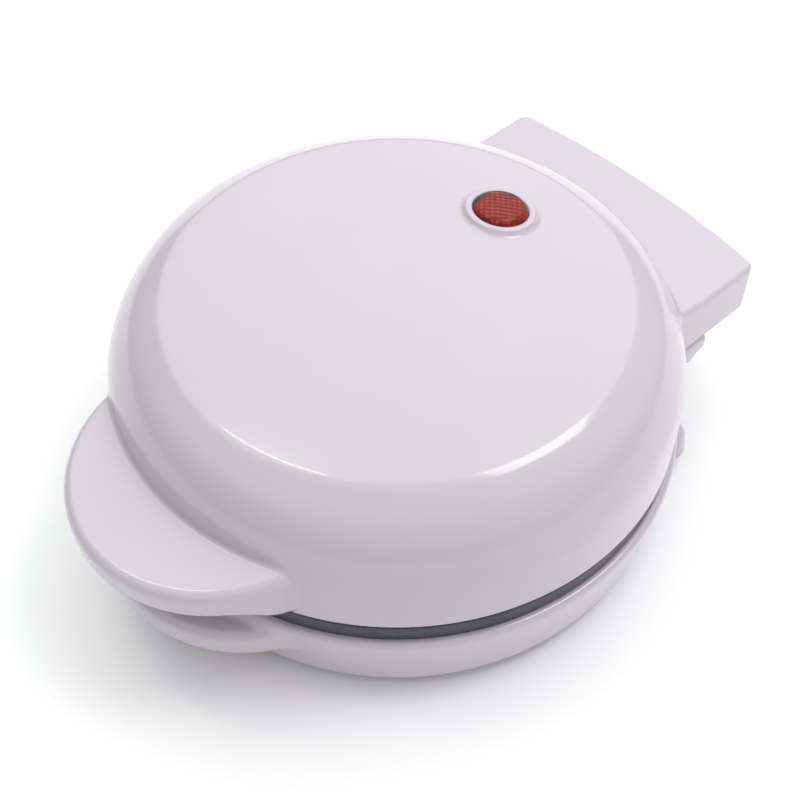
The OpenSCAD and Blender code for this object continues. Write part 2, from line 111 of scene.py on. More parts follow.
# ---- meshes ----

def add_object(name, verts, faces, normals=None):
    """A smooth-shaded mesh object from points in millimetres."""
    mesh = bpy.data.meshes.new(name)
    mesh.from_pydata([tuple(v) for v in np.asarray(verts) * MM], [], faces)
    mesh.validate()
    mesh.polygons.foreach_set("use_smooth", [True] * len(mesh.polygons))
    if normals is not None and len(mesh.vertices) == len(normals):
        mesh.normals_split_custom_set_from_vertices([tuple(n) for n in normals])
    mesh.update()
    obj = bpy.data.objects.new(name, mesh)
    bpy.context.scene.collection.objects.link(obj)
    return obj


def outward(obj):
    """Turns every face outwards and drops doubled points."""
    bm = bmesh.new()
    bm.from_mesh(obj.data)
    bmesh.ops.remove_doubles(bm, verts=bm.verts, dist=1e-7)
    bmesh.ops.recalc_face_normals(bm, faces=bm.faces)
    bm.to_mesh(obj.data)
    bm.free()
    return obj


def place(obj, body, material, slot, *nodes):
    """Gives a piece its material and its body, and hides the CAD nodes it stands for. The slot
    argument is not used.
    """
    obj.data.materials.clear()
    obj.data.materials.append(material)
    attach(obj, body)
    if nodes:
        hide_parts(*nodes)
    return obj


def fillet(points, radii, steps=6):
    """A polyline with each inner corner rounded to its own radius."""
    out = [np.array(points[0], float)]
    for i in range(1, len(points) - 1):
        p, q, s = (np.array(points[k], float) for k in (i - 1, i, i + 1))
        a, b = (p - q), (s - q)
        la, lb = np.linalg.norm(a), np.linalg.norm(b)
        a, b = a / la, b / lb
        half = math.acos(np.clip(a @ b, -1, 1)) / 2
        reach = min(radii[i] / math.tan(half) if radii[i] else 0, la * 0.49, lb * 0.49)
        if reach < 1e-6 or half > math.pi / 2 - 0.01:
            out.append(q)
            continue
        r = reach * math.tan(half)
        centre = q + (a + b) / np.linalg.norm(a + b) * (r / math.sin(half))
        start = q + a * reach - centre
        end = q + b * reach - centre
        turn = math.atan2(start[0] * end[1] - start[1] * end[0], start @ end)
        for k in range(steps + 1):
            t = turn * k / steps
            c, n = math.cos(t), math.sin(t)
            turned = [start[0] * c - start[1] * n, start[0] * n + start[1] * c]
            out.append(centre + np.array(turned))
    out.append(np.array(points[-1], float))
    return out


def lathe(profile, segments=192, closed=False):
    """Points and faces of a profile (radius, height) turned about Z."""
    rings = len(profile)
    angles = np.linspace(0, 2 * math.pi, segments, endpoint=False)
    verts = [(r * math.cos(t), r * math.sin(t), z) for t in angles for r, z in profile]
    faces = []
    last = rings if closed else rings - 1
    for j in range(segments):
        k = (j + 1) % segments
        for i in range(last):
            n = (i + 1) % rings
            faces.append((j * rings + i, k * rings + i, k * rings + n, j * rings + n))
    return verts, faces


def merge(parts):
    """Joins (points, faces) pairs into one pair."""
    verts, faces = [], []
    for v, f in parts:
        start = len(verts)
        verts.extend(v)
        faces.extend(tuple(i + start for i in face) for face in f)
    return verts, faces


# ---- implicit shapes ----

def all_of(*fields):
    """Where all the shapes are solid, with sharp edges."""
    return reduce(np.maximum, fields)


def any_of(*fields):
    """Where any of the shapes is solid, with sharp edges."""
    return reduce(np.minimum, fields)


def round_both(a, b, r):
    """Where both shapes are solid, with the edge rounded to r."""
    return np.minimum(-r, np.maximum(a, b)) + np.hypot(np.maximum(r + a, 0), np.maximum(r + b, 0))


def round_either(a, b, r):
    """Where either shape is solid, with a fillet of radius r between them."""
    return np.maximum(r, np.minimum(a, b)) - np.hypot(np.maximum(r - a, 0), np.maximum(r - b, 0))


def soft_max(a, b, k):
    """The larger of the two, blended over a width of about k where they are close."""
    h = np.clip(0.5 + 0.5 * (a - b) / k, 0, 1)
    return b + (a - b) * h + k * h * (1 - h)


def circle_through(points):
    """Centre and radius of the circle through three points."""
    (ax, ay), (bx, by), (cx, cy) = points
    d = 2 * (ax * (by - cy) + bx * (cy - ay) + cx * (ay - by))
    sa, sb, sc = ax * ax + ay * ay, bx * bx + by * by, cx * cx + cy * cy
    ux = (sa * (by - cy) + sb * (cy - ay) + sc * (ay - by)) / d
    uy = (sa * (cx - bx) + sb * (ax - cx) + sc * (bx - ax)) / d
    return ux, uy, math.hypot(ax - ux, ay - uy)


SHOULDER = circle_through(SHOULDER_POINTS)
CROWN_R = CREASE_R ** 2 / (2 * (CROWN_Z - CREASE_Z))


def dome(x, y, z):
    """The lid's outside without its rim plane. Inwards of the join the shoulder is a cone."""
    r = np.hypot(x, y)
    cr, cz, radius = SHOULDER
    arc = np.hypot(np.maximum(r - cr, 0), np.maximum(z - cz, 0)) - radius
    join = RAMP_R + CONE_START
    lean = math.asin((join - cr) / radius)
    cone = (r - join) * math.sin(lean) + (z - cz - radius * math.cos(lean)) * math.cos(lean)
    arc = np.where(r < join, cone, arc)
    tilt = math.radians(RAMP_TILT)
    ramp = (r - RAMP_R) * math.sin(tilt) + (z - RAMP_Z) * math.cos(tilt)
    crown = np.hypot(r, z - (CROWN_Z - CROWN_R)) - CROWN_R
    side = soft_max(soft_max(r - LID_R, arc, BAND_BLEND), ramp, RAMP_BLEND)
    return soft_max(side, crown, CROWN_BLEND)


def disc(x, y, z, radius, centre_y, low, high, edge):
    """A flat disc in front of the middle, with rounded rims."""
    across = np.hypot(x, y + centre_y) - radius
    return round_both(round_both(across, z - high, edge), low - z, edge)


def scoop_height(y):
    """Height of the tab's underside: it rises in an S towards the tip, for the fingers."""
    run, lift = (SCOOP_END - SCOOP_START) / 2, SCOOP_LIFT / 2
    bend = (run ** 2 + lift ** 2) / (2 * lift)
    out = np.clip(-y - SCOOP_START, 0, 2 * run)
    first = bend - np.sqrt(bend ** 2 - np.minimum(out, run) ** 2)
    last = 2 * lift - bend + np.sqrt(bend ** 2 - np.minimum(2 * run - out, run) ** 2)
    return TAB_LOW + np.where(out < run, first, last)


def bowed_back(x, y, inset):
    """The block's back face, a shallow arc seen from above, moved inwards by the inset."""
    return np.hypot(x, y - (BLOCK_BACK - BLOCK_BOW)) - (BLOCK_BOW - inset)


def block(x, y, z):
    """The hinge block behind the lid: bowed back and rounded corners."""
    plan = round_both(np.abs(x) - BLOCK_W, bowed_back(x, y, 0.0), BLOCK_CORNER)
    rise = BLOCK_RISE * np.clip((RISE_Y - y) / RISE_RUN, 0, 1) ** 2
    body = round_both(plan, z - BLOCK_HIGH - rise, BLOCK_TOP_EDGE)
    return all_of(round_both(body, BLOCK_LOW - z, BLOCK_LOW_EDGE), BLOCK_FRONT - y)


def lugs(x, y, z):
    """Inner lugs and side bosses of the block, which hold the hinge pins."""
    post = all_of(np.abs(y - HINGE_Y) - LUG_R, HINGE_Z - z, z - BLOCK_HIGH + LUG_ROOF)
    side = any_of(np.hypot(y - HINGE_Y, z - HINGE_Z) - LUG_R, post)
    slab = any_of(np.abs(np.abs(x) - LUG_X) - LUG_HALF, np.abs(np.abs(x) - BOSS_X) - BOSS_HALF)
    return round_both(round_both(side, slab, LUG_EDGE), BLOCK_LOW - z, LUG_EDGE)


def lift_tab(x, y, z):
    """The round tab in front, with its sloping top and scooped underside."""
    slope = np.clip(TAB_FALL * (y + FALL_Y) / FALL_RUN, -TAB_FALL, TAB_FALL)
    across = np.hypot(x, y + TAB_Y) - TAB_R
    top = round_both(across, z - TAB_HIGH - slope, TAB_EDGE)
    return round_both(top, scoop_height(y) - z, TAB_EDGE)


def lid_field(x, y, z):
    """The lid's moulding: dome, tab and block, less the hollows, with the lugs put back."""
    r = np.hypot(x, y)
    rim = round_both(dome(x, y, z), RIM_Z - z, RIM_EDGE)
    shell = round_either(rim, lift_tab(x, y, z), TAB_FILLET)
    shell = round_either(shell, block(x, y, z), BLOCK_FILLET)
    hollow = dome(x, y, z) + WALL
    bay = all_of(np.abs(x) - (BLOCK_W - WALL), bowed_back(x, y, WALL),
                 z - (BLOCK_HIGH - WALL), LID_R - r, BAY_FRONT - y)
    under = all_of(np.hypot(x, y + TAB_Y) - (TAB_R - WALL), z - (scoop_height(y) + TAB_FLOOR),
                   LID_R - r, y)
    seat = lamp_cylinder(x, y, z, LENS_R - SEAT_LAP, SEAT_LOW)
    return any_of(all_of(shell, -any_of(hollow, bay, under, seat)), lugs(x, y, z))


LAMP_Z = CROWN_Z - (CROWN_Z - CREASE_Z) * (LAMP_Y / CREASE_R) ** 2
LAMP_TILT = math.atan(2 * (CROWN_Z - CREASE_Z) * LAMP_Y / CREASE_R ** 2)
LAMP_AXIS = (0.0, math.sin(LAMP_TILT), math.cos(LAMP_TILT))


def lamp_cylinder(x, y, z, radius, low):
    """A cylinder along the lamp's axis, from low upwards."""
    dy, dz = y - LAMP_Y, z - LAMP_Z
    along = dy * LAMP_AXIS[1] + dz * LAMP_AXIS[2]
    across = dy * LAMP_AXIS[2] - dz * LAMP_AXIS[1]
    return np.maximum(np.hypot(x, across) - radius, low - along)


def round_cone(y, z, start, end, r0, r1):
    """Distance to a rod in the YZ plane that tapers from r0 to r1."""
    sy, sz = end[0] - start[0], end[1] - start[1]
    t = np.clip(((y - start[0]) * sy + (z - start[1]) * sz) / (sy * sy + sz * sz), 0, 1)
    return np.hypot(y - start[0] - t * sy, z - start[1] - t * sz) - (r0 + (r1 - r0) * t)


def ears(x, y, z):
    """The two curved hinge ears, each bored for its pin."""
    side = None
    for (a, ra), (b, rb) in zip(EAR_PATH, EAR_PATH[1:]):
        part = round_cone(y, z, a, b, ra, rb)
        side = part if side is None else round_either(side, part, EAR_FILLET)
    slab = np.abs(np.abs(x) - (EAR_X + EAR_W / 2)) - EAR_W / 2
    bored = all_of(side, BORE_R - np.hypot(y - HINGE_Y, z - HINGE_Z))
    return round_both(bored, slab, EAR_EDGE)


def cheek(x, y, z):
    """The flared support under each ear, up to just below the hinge block."""
    slab = np.abs(np.abs(x) - CHEEK_X) - CHEEK_HALF
    hollow = FLARE_R - np.hypot(y - FLARE_Y, np.maximum(z - FLARE_Z, 0))
    flare = round_both(hollow, y - FLARE_Y, FLARE_EDGE)
    body = round_both(round_both(slab, flare, CHEEK_EDGE), z - CHEEK_HIGH, CHEEK_TOP_EDGE)
    return all_of(body, CHEEK_LOW - z, CHEEK_FRONT - y)


def heel(x, y, z, angle):
    """A rounded foot-like bulge that steadies the open lid."""
    cx, cy = HEEL_REACH * math.cos(angle), HEEL_REACH * math.sin(angle)
    lean = HEEL_R - HEEL_TAPER * (z - BASE_LOW) / HEEL_RUN
    top = round_both(np.hypot(x - cx, y - cy) - lean, z - HEEL_HIGH, HEEL_TOP_EDGE)
    return round_both(top, BASE_LOW - z, HEEL_LOW_EDGE)


def base_field(x, y, z):
    """The base's moulding, open in the middle, where the plate and the cover hide it."""
    r = np.hypot(x, y)
    lean = (BASE_R_TOP - BASE_R_LOW) / LEAN_RUN
    side = (r - (BASE_R_TOP - lean * (LEAN_TOP - z))) / math.hypot(1, lean)
    body = round_both(round_both(side, z - BASE_TOP, BASE_TOP_EDGE), BASE_LOW - z, BASE_LOW_EDGE)
    lip = disc(x, y, z, LIP_R, LIP_Y, LIP_LOW, LIP_HIGH, LIP_EDGE)
    body = round_either(body, lip, LIP_FILLET)
    for angle in HEEL_ANGLES:
        body = round_either(body, heel(x, y, z, math.radians(angle)), HEEL_FILLET)
    inner_end = CHEEK_START - r + BEVEL_SLOPE * np.maximum(BEVEL_Z - z, 0)
    body = round_either(body, all_of(cheek(x, y, z), inner_end), CHEEK_FILLET)
    body = round_either(body, ears(x, y, z), EAR_FILLET)
    exit_bore = all_of(np.hypot(x, z - CORD_Z) - CORD_BORE_R, CHEEK_FRONT - y)
    lip_hollow = all_of(np.hypot(x, y + LIP_Y) - (LIP_R - WALL), z - (LIP_HIGH - WALL),
                        BASE_R_TOP - LIP_HOLLOW_GAP - r, y)
    return all_of(body, -any_of(exit_bore, lip_hollow, r - (BASE_R_LOW - BASE_THICK)))


def spaced(*spans):
    """Grid stations from (from, to, step) spans that follow each other."""
    out = [spans[0][0]]
    for low, high, step in spans:
        count = max(1, round((high - low) / step))
        out.extend(low + (high - low) * (k + 1) / count for k in range(count))
    return np.array(out)


def polar_shell(name, field, radii, heights, turns):
    """The zero surface of a field, meshed on a grid of rings so that round edges stay crisp.

    Each cell that the surface passes gets one point, the mean of its edge crossings.
    """
    angles = np.linspace(0, 2 * math.pi, turns + 1)
    r, t, z = np.meshgrid(radii, angles[:-1], heights, indexing="ij")
    values = field(r * np.cos(t), r * np.sin(t), z)
    values = np.concatenate([values, values[:, :1]], axis=1)
    never_zero = 1e-9
    values[values == 0] = never_zero
    cells = tuple(n - 1 for n in values.shape)
    total, count = [np.zeros(cells) for _ in range(3)], np.zeros(cells)
    for axis in range(3):
        others = [k for k in range(3) if k != axis]
        for a in (0, 1):
            for b in (0, 1):
                at = [0, 0, 0]
                at[others[0]], at[others[1]] = a, b
                to = list(at)
                to[axis] = 1
                p = values[tuple(slice(o, o + n) for o, n in zip(at, cells))]
                q = values[tuple(slice(o, o + n) for o, n in zip(to, cells))]
                cross = (p < 0) != (q < 0)
                share = np.where(cross, p / np.where(cross, p - q, 1), 0)
                for k in range(3):
                    total[k] += np.where(cross, at[k] + (share if k == axis else 0), 0)
                count += cross
    used = count > 0
    index = np.full(cells, -1)
    index[used] = np.arange(used.sum())
    where = np.argwhere(used)
    spot = [where[:, k] + total[k][used] / count[used] for k in range(3)]
    rr = np.interp(spot[0], np.arange(len(radii)), radii)
    tt = np.interp(spot[1], np.arange(turns + 1), angles)
    zz = np.interp(spot[2], np.arange(len(heights)), heights)
    points = np.stack([rr * np.cos(tt), rr * np.sin(tt), zz], axis=1)
    points, normals = settle(field, points)
    faces = quads(values, index)
    faces.extend(poles(index))
    if any(len(f) == 3 for f in faces):
        points, normals, faces = close_poles(points, normals, faces)
    return add_object(name, points, faces, normals)


def gradient(field, p, h=0.02):
    """The field's slope at each point, from differences over h either way."""
    out = np.zeros_like(p)
    for k in range(3):
        step = np.zeros(3)
        step[k] = h
        a, b = p + step, p - step
        out[:, k] = (field(a[:, 0], a[:, 1], a[:, 2]) - field(b[:, 0], b[:, 1], b[:, 2])) / (2 * h)
    return out


def settle(field, points, rounds=4):
    """Moves points onto the surface and returns them with the surface's normals."""
    for _ in range(rounds):
        value = field(points[:, 0], points[:, 1], points[:, 2])
        slope = gradient(field, points)
        size = np.maximum((slope ** 2).sum(1), 0.1)
        move = np.clip(value / size, -0.5, 0.5)
        points = points - slope * move[:, None]
    slope = gradient(field, points)
    return points, slope / np.maximum(np.linalg.norm(slope, axis=1), 1e-6)[:, None]


def quads(values, index):
    """One quad round each grid edge that crosses the surface."""
    inside = values[:, :-1] < 0
    back = np.roll(index, 1, axis=1)
    rings = []
    cross = inside[:-1, :, 1:-1] != inside[1:, :, 1:-1]
    rings.append((cross, inside[:-1, :, 1:-1],
                  (back[:, :, :-1], index[:, :, :-1], index[:, :, 1:], back[:, :, 1:])))
    ahead = np.roll(inside, -1, axis=1)
    cross = inside[1:-1, :, 1:-1] != ahead[1:-1, :, 1:-1]
    rings.append((cross, ~inside[1:-1, :, 1:-1],
                  (index[:-1, :, :-1], index[1:, :, :-1], index[1:, :, 1:], index[:-1, :, 1:])))
    cross = inside[1:-1, :, :-1] != inside[1:-1, :, 1:]
    rings.append((cross, inside[1:-1, :, :-1],
                  (back[:-1], back[1:], index[1:], index[:-1])))
    faces = []
    for cross, forward, corners in rings:
        four = np.stack([c[cross] for c in corners], axis=1)
        keep = (four >= 0).all(axis=1)
        four, turn = four[keep], forward[cross][keep]
        faces.extend(tuple(int(i) for i in f) for f in four[turn])
        faces.extend(tuple(int(i) for i in f[::-1]) for f in four[~turn])
    return faces


def poles(index):
    """Triangles to a pole for each whole ring next to the axis. A pole's mark is below 0."""
    first = index[0]
    faces = []
    for k in range(first.shape[1]):
        ring = first[:, k]
        if (ring >= 0).all():
            faces.extend((int(ring[j]), int(ring[(j + 1) % len(ring)]), -1 - k)
                         for j in range(len(ring)))
    return faces


def close_poles(points, normals, faces):
    """Replaces the marks left by poles() with real points on the axis."""
    marks = sorted({f[2] for f in faces if len(f) == 3})
    extra = {}
    for mark in marks:
        ring = sorted({i for f in faces if len(f) == 3 and f[2] == mark for i in f[:2]})
        extra[mark] = len(points)
        points = np.vstack([points, [0, 0, points[ring, 2].mean()]])
        up = np.sign(normals[ring, 2].mean())
        normals = np.vstack([normals, [0, 0, up]])
    done = []
    for f in faces:
        if len(f) == 3:
            a, b, c = f[0], f[1], extra[f[2]]
            done.append((a, b, c) if normals[c][2] > 0 else (b, a, c))
        else:
            done.append(f)
    return points, normals, done


# ---- materials ----

class Finish:
    """A Principled material with helpers for its procedural detail, in object space."""

    def __init__(self, name, **sockets):
        self.mat = bpy.data.materials.new(name)
        self.mat.use_nodes = True
        self.tree = self.mat.node_tree
        self.bsdf = self.tree.nodes["Principled BSDF"]
        for key, value in sockets.items():
            self.bsdf.inputs[key.replace("_", " ")].default_value = value
        self.coords = self.add("ShaderNodeTexCoord").outputs["Object"]

    def add(self, kind):
        return self.tree.nodes.new(kind)

    def link(self, a, b):
        self.tree.links.new(a, b)

    def at(self, scale, turn=(0, 0, 0)):
        """Object coordinates in cycles per metre along each axis."""
        node = self.add("ShaderNodeMapping")
        node.inputs["Scale"].default_value = scale
        node.inputs["Rotation"].default_value = turn
        self.link(self.coords, node.inputs["Vector"])
        return node.outputs["Vector"]

    def noise(self, scale, detail=3.0, rough=0.5, stretch=(1, 1, 1), turn=(0, 0, 0)):
        """Fractal noise, about 0.3 to 0.7, with scale in cycles per metre."""
        node = self.add("ShaderNodeTexNoise")
        node.inputs["Scale"].default_value = scale
        node.inputs["Detail"].default_value = detail
        node.inputs["Roughness"].default_value = rough
        self.link(self.at(stretch, turn), node.inputs["Vector"])
        return node.outputs["Fac"]

    def cells(self, scale):
        """Distance to the nearest of many scattered points."""
        node = self.add("ShaderNodeTexVoronoi")
        node.inputs["Scale"].default_value = scale
        self.link(self.at((1, 1, 1)), node.inputs["Vector"])
        return node.outputs["Distance"]

    def span(self, fac, low, high, start=0.0, end=1.0):
        """Maps fac from start..end to low..high."""
        node = self.add("ShaderNodeMapRange")
        node.inputs["From Min"].default_value = start
        node.inputs["From Max"].default_value = end
        node.inputs["To Min"].default_value = low
        node.inputs["To Max"].default_value = high
        self.link(fac, node.inputs["Value"])
        return node.outputs["Result"]

    def mix(self, fac, a, b):
        """Blends two colours, either of which may be a socket."""
        node = self.add("ShaderNodeMix")
        node.data_type = "RGBA"
        self.link(fac, node.inputs["Factor"])
        for key, value in ((6, a), (7, b)):
            if isinstance(value, tuple):
                node.inputs[key].default_value = value + (1.0,)
            else:
                self.link(value, node.inputs[key])
        return node.outputs[2]

    def maths(self, kind, a, b):
        """One arithmetic step on two numbers, either of which may be a socket."""
        node = self.add("ShaderNodeMath")
        node.operation = kind
        for key, value in enumerate((a, b)):
            if isinstance(value, (int, float)):
                node.inputs[key].default_value = value
            else:
                self.link(value, node.inputs[key])
        return node.outputs[0]

    def lines(self, pitch_mm, turn):
        """Soft parallel lines, 0 on each line and 1 between two of them."""
        node = self.add("ShaderNodeTexWave")
        node.inputs["Scale"].default_value = math.pi / 10 / (pitch_mm * MM)
        self.link(self.at((1, 1, 1), (0, 0, turn)), node.inputs["Vector"])
        return node.outputs["Fac"]

    def bump(self, height, strength, distance_mm, under=None):
        """A normal from a height pattern, laid over another normal if one is given."""
        node = self.add("ShaderNodeBump")
        node.inputs["Strength"].default_value = strength
        node.inputs["Distance"].default_value = distance_mm * MM
        self.link(height, node.inputs["Height"])
        if under is not None:
            self.link(under, node.inputs["Normal"])
        return node.outputs["Normal"]

    def colour(self, socket):
        self.link(socket, self.bsdf.inputs["Base Color"])

    def roughness(self, socket):
        self.link(socket, self.bsdf.inputs["Roughness"])

    def normal(self, socket):
        self.link(socket, self.bsdf.inputs["Normal"])


def lilac_gloss():
    """Glossy injection-moulded plastic: faint flow mottling, orange peel, fine rub marks."""
    f = Finish("lilac_gloss", Coat_Weight=0.5, Coat_Roughness=0.04, IOR=1.5)
    flow = f.noise(22, 4, 0.55, stretch=(1, 0.6, 1.4))
    body = f.mix(f.span(flow, 0, 1, 0.3, 0.7), (0.474, 0.416, 0.484), (0.494, 0.436, 0.504))
    dust = f.cells(2600)
    speck = f.span(dust, 1, 0, 0.03, 0.09)
    f.colour(f.mix(f.maths("MULTIPLY", speck, 0.10), body, (0.50, 0.44, 0.50)))
    rubs = f.noise(900, 6, 0.7, stretch=(1, 0.06, 1), turn=(0, 0, 0.9))
    smudge = f.noise(60, 3, 0.6)
    scuffs = f.span(rubs, 0.0, 0.05, 0.45, 0.75)
    f.roughness(f.maths("ADD", scuffs, f.span(smudge, 0.15, 0.22, 0.35, 0.7)))
    peel = f.noise(420, 2, 0.4)
    sink = f.noise(30, 1, 0.4)
    f.normal(f.bump(peel, 0.10, 0.06, f.bump(sink, 0.10, 0.25)))
    return f.mat


def non_stick():
    """Sprayed non-stick coating on cast aluminium: speckled and finely pebbled."""
    f = Finish("non_stick_coating", Metallic=0.15, Coat_Weight=0.25, Coat_Roughness=0.25)
    speckle = f.cells(1500)
    tone = f.noise(90, 4, 0.6)
    base = f.mix(f.span(tone, 0, 1, 0.3, 0.7), (0.011, 0.013, 0.020), (0.021, 0.024, 0.035))
    fleck = f.maths("MULTIPLY", f.span(speckle, 1, 0, 0.1, 0.28), 0.5)
    f.colour(f.mix(fleck, base, (0.12, 0.13, 0.15)))
    f.roughness(f.span(f.noise(260, 4, 0.6), 0.30, 0.48, 0.3, 0.7))
    f.normal(f.bump(f.noise(1900, 3, 0.6), 0.35, 0.05, f.bump(speckle, 0.15, 0.04)))
    return f.mat


def metal(name, colour, low, high, stretch):
    """Bare metal with drawn grain along one direction and faint heat tint."""
    f = Finish(name, Metallic=1.0)
    grain = f.noise(1400, 6, 0.65, stretch=stretch)
    tint = f.noise(45, 3, 0.5)
    warm = tuple(c * k for c, k in zip(colour, (0.93, 0.88, 0.80)))
    f.colour(f.mix(f.span(tint, 0, 0.6, 0.45, 0.8), colour, warm))
    f.roughness(f.span(grain, low, high, 0.3, 0.7))
    f.normal(f.bump(grain, 0.25, 0.03))
    return f.mat


def rubber():
    """Matt moulded rubber with a fine spark-eroded grain and dusty bloom."""
    f = Finish("black_rubber", IOR=1.5, Sheen_Weight=0.25, Sheen_Roughness=0.5)
    bloom = f.noise(130, 5, 0.65)
    f.colour(f.mix(f.span(bloom, 0, 0.7, 0.4, 0.8), (0.018, 0.018, 0.020), (0.060, 0.058, 0.056)))
    f.roughness(f.span(bloom, 0.62, 0.86, 0.3, 0.7))
    f.normal(f.bump(f.noise(2200, 3, 0.6), 0.4, 0.05))
    return f.mat


def grained_plastic(name, dark, light, rough):
    """Plain moulded plastic with an etched mould grain."""
    f = Finish(name, IOR=1.48)
    tone = f.noise(70, 4, 0.6)
    f.colour(f.mix(f.span(tone, 0, 1, 0.3, 0.7), dark, light))
    f.roughness(f.span(f.noise(700, 3, 0.6), rough - 0.07, rough + 0.07, 0.3, 0.7))
    f.normal(f.bump(f.noise(1600, 4, 0.7), 0.3, 0.06))
    return f.mat


def red_lens():
    """Deep red acrylic over a crossed prism pattern, with a painted dark rim that stands in for
    the dark surroundings reflected at the lens edge.
    """
    f = Finish("red_lens", IOR=1.45, Coat_Weight=0.15, Coat_Roughness=0.03, Specular_IOR_Level=0.1)
    fine = f.noise(1100, 4, 0.6)
    deep = f.noise(160, 2, 0.5)
    # Painted reflection: the lens colour darkens towards its rim, standing in for the dark
    # surroundings reflected at the edge.
    centre = f.add("ShaderNodeVectorMath")
    centre.operation = "DISTANCE"
    centre.inputs[1].default_value = (0, LAMP_Y * MM, LAMP_Z * MM)
    f.link(f.coords, centre.inputs[0])
    painted_rim_ragged = f.span(deep, -1.3 * MM, 1.3 * MM, 0.3, 0.7)
    reach = f.maths("ADD", centre.outputs["Value"], painted_rim_ragged)
    rim = f.span(reach, 0, 0.95, 5.4 * MM, 6.4 * MM)
    prisms = f.maths("MINIMUM", f.lines(RIB_PITCH, math.pi / 4), f.lines(RIB_PITCH, -math.pi / 4))
    core = f.mix(f.span(fine, 0, 1, 0.3, 0.7), (0.25, 0.026, 0.020), (0.34, 0.040, 0.028))
    core = f.mix(f.span(prisms, 0.6, 0, 0.0, 0.4), core, (0.09, 0.010, 0.008))
    core = f.mix(f.span(deep, 0, 0.5, 0.4, 0.75), core, (0.12, 0.006, 0.005))
    # Mixes in the painted dark rim, a reflection painted as colour.
    f.colour(f.mix(rim, core, (0.030, 0.010, 0.009)))
    f.roughness(f.span(fine, 0.10, 0.22, 0.3, 0.7))
    f.normal(f.bump(fine, 0.15, 0.03))
    return f.mat


def lamp_glass():
    """Thin drawn glass of the neon lamp, faintly amber."""
    f = Finish("lamp_glass", IOR=1.5, Transmission_Weight=0.9)
    swirl = f.noise(300, 3, 0.5)
    f.colour(f.mix(f.span(swirl, 0, 1, 0.3, 0.7), (0.95, 0.80, 0.68), (0.98, 0.88, 0.78)))
    f.roughness(f.span(swirl, 0.03, 0.10, 0.3, 0.7))
    f.normal(f.bump(swirl, 0.1, 0.05))
    return f.mat


def braid():
    """Glass-fibre sleeve on the wires: fine crossed strands."""
    f = Finish("braided_sleeve", Sheen_Weight=0.3)
    strands = f.noise(2400, 2, 0.5, stretch=(1, 0.25, 1), turn=(0, 0, 0.7))
    f.colour(f.mix(f.span(strands, 0, 1, 0.35, 0.65), (0.48, 0.45, 0.38), (0.74, 0.71, 0.63)))
    f.roughness(f.span(strands, 0.6, 0.9, 0.3, 0.7))
    f.normal(f.bump(strands, 0.6, 0.12))
    return f.mat


LILAC = lilac_gloss()
COATING = non_stick()
STEEL = metal("drawn_steel", (0.58, 0.58, 0.60), 0.22, 0.42, (1, 1, 0.08))
ALUMINIUM = metal("rolled_aluminium", (0.80, 0.81, 0.82), 0.28, 0.5, (0.06, 1, 1))
SHEATH = metal("element_sheath", (0.36, 0.34, 0.33), 0.38, 0.6, (1, 1, 0.3))
RUBBER = rubber()
DARK_PLASTIC = grained_plastic("dark_plastic", (0.020, 0.020, 0.023), (0.034, 0.034, 0.038), 0.48)
PALE_PLASTIC = grained_plastic("pale_nylon", (0.66, 0.63, 0.55), (0.74, 0.72, 0.66), 0.42)
LENS_RED = red_lens()
GLASS = lamp_glass()
BRAID = braid()


# ---- shells ----

def lid_shell():
    """The lid's moulding, with closer rings and levels at the crease, the band and the rim."""
    radii = spaced((0.0, 44.0, 2.2), (44.0, 53.0, 0.45), (53.0, 66.0, 0.65), (66.0, 87.9, 0.6))
    heights = spaced((25.5, 28.5, 0.25), (28.5, 42.0, 0.75), (42.0, 54.0, 0.9), (54.0, 58.0, 0.45),
                     (58.0, 64.0, 0.9))
    obj = polar_shell("lid_shell", lid_field, radii, heights, 720)
    return place(obj, "lid", LILAC, "lilac_plastic", "lid_housing")


def base_shell():
    """The base's moulding, with closer levels at the foot and at the rim."""
    radii = spaced((58.0, 66.0, 0.5), (66.0, 77.0, 0.7))
    heights = spaced((2.2, 6.0, 0.5), (6.0, 17.0, 0.8), (17.0, 22.0, 0.45), (22.0, 35.0, 0.7))
    obj = polar_shell("base_shell", base_field, radii, heights, 480)
    return place(obj, "base", LILAC, "lilac_plastic", "base_housing")


# ---- plates ----

def stud_centres():
    """The places of the square grid whose studs lie clear of the cavity's wall."""
    clear, half_diagonal, most = 1, 0.72, 4
    reach = CAVITY_R - clear - STUD_W * half_diagonal
    steps = range(-most, most + 1)
    return [(i * STUD_PITCH, j * STUD_PITCH) for i in steps for j in steps
            if math.hypot(i, j) * STUD_PITCH < reach]


def stud(cx, cy, foot, tip):
    """A square stud that tapers to a softly rounded top, with a flare where it meets the floor."""
    sign = 1 if tip > foot else -1
    height = abs(tip - foot)
    # Each level: share of the height, half width against the stud's width, corner radius
    levels = ((0.0, 0.62, 1.6), (0.10, 0.50, 1.5), (0.25, 0.42, 1.3), (0.90, 0.36, 1.2),
              (0.97, 0.33, 1.1), (1.0, 0.27, 0.9))
    spread = 1.12
    verts, faces = [], []
    corner = 6
    for share, half, edge in levels:
        h = half * STUD_W * spread
        z = foot + sign * height * share
        for q in range(4):
            ox, oy = ((1, 1), (-1, 1), (-1, -1), (1, -1))[q]
            for k in range(corner + 1):
                t = math.pi / 2 * (q + k / corner)
                x = ox * (h - edge) + edge * math.cos(t)
                y = oy * (h - edge) + edge * math.sin(t)
                verts.append((cx + x, cy + y, z))
    n = 4 * (corner + 1)
    for level in range(len(levels) - 1):
        for k in range(n):
            a, b = level * n + k, level * n + (k + 1) % n
            faces.append((a, b, b + n, a + n) if sign > 0 else (b, a, a + n, b + n))
    top = tuple((len(levels) - 1) * n + k for k in range(n))
    faces.append(top if sign > 0 else top[::-1])
    return verts, faces


